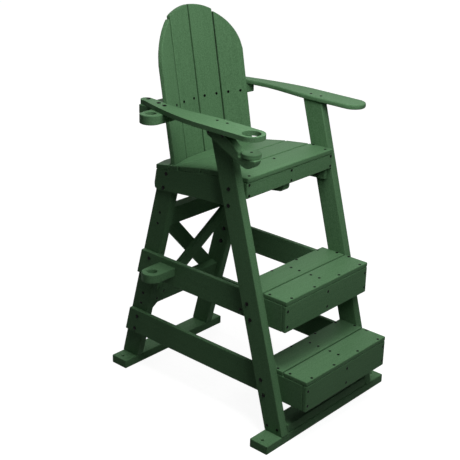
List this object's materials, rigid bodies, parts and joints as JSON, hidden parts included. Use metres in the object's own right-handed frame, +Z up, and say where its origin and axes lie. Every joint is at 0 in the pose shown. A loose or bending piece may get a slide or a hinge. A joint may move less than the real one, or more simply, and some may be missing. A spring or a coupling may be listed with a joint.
{
  "type": "lifeguard chair",
  "caption": "Tall outdoor chair of plastic lumber with plank steps up to a sloped seat, a slatted arched back, flat armrests, a cup holder and an umbrella holder.",
  "frame": {"origin": "on the ground, under the middle of the bounding box", "axes": "+Z up, +Y from the front of the chair to its back, +X to the sitter's left; the sitter faces -Y"},
  "size_m": [0.7892, 1.0606, 1.586],
  "materials": {
    "lumber": "matte, fine-grained solid plastic lumber with eased edges",
    "fastener": "dark coated steel, satin"
  },
  "bodies": {
    "root": {"front_foot_board": "lumber", "rear_foot_board": "lumber", "front_foot_stretcher": "lumber", "front_leg_right": "lumber", "front_leg_left": "lumber", "rear_leg_right": "lumber", "rear_leg_left": "lumber", "lower_step_rail_right": "lumber", "lower_step_rail_left": "lumber", "lower_step_riser": "lumber", "lower_step_cross_board": "lumber", "lower_step_joist": "lumber", "lower_step_tread_front": "lumber", "lower_step_tread_back": "lumber", "upper_step_rail_right": "lumber", "upper_step_rail_left": "lumber", "upper_step_riser": "lumber", "upper_step_cross_board": "lumber", "upper_step_joist": "lumber", "upper_step_tread_front": "lumber", "upper_step_tread_back": "lumber", "seat_rail_right": "lumber", "seat_rail_left": "lumber", "seat_apron": "lumber", "seat_middle_joist": "lumber", "seat_board_front": "lumber", "seat_board_second": "lumber", "seat_board_third": "lumber", "seat_board_fourth": "lumber", "seat_rear_board": "lumber", "back_slat_1": "lumber", "back_slat_2": "lumber", "back_slat_3": "lumber", "back_slat_4": "lumber", "armrest_left": "lumber", "armrest_right": "lumber", "arm_rear_support": "lumber", "umbrella_upper_block": "lumber", "umbrella_lower_block": "lumber", "cup_base_disc": "lumber", "cup_bracket": "lumber", "rear_cross_board_upper": "lumber", "rear_cross_board_lower": "lumber", "rear_brace_front": "lumber", "rear_brace_back": "lumber", "leg_bolt_seat_upper_right": "fastener", "leg_bolt_seat_upper_left": "fastener", "leg_bolt_seat_lower_right": "fastener", "leg_bolt_seat_lower_left": "fastener", "leg_bolt_upper_step_upper_right": "fastener", "leg_bolt_upper_step_upper_left": "fastener", "leg_bolt_upper_step_lower_right": "fastener", "leg_bolt_upper_step_lower_left": "fastener", "leg_bolt_lower_step_upper_right": "fastener", "leg_bolt_lower_step_upper_left": "fastener", "leg_bolt_lower_step_lower_right": "fastener", "leg_bolt_lower_step_lower_left": "fastener"}
  },
  "joints": []
}
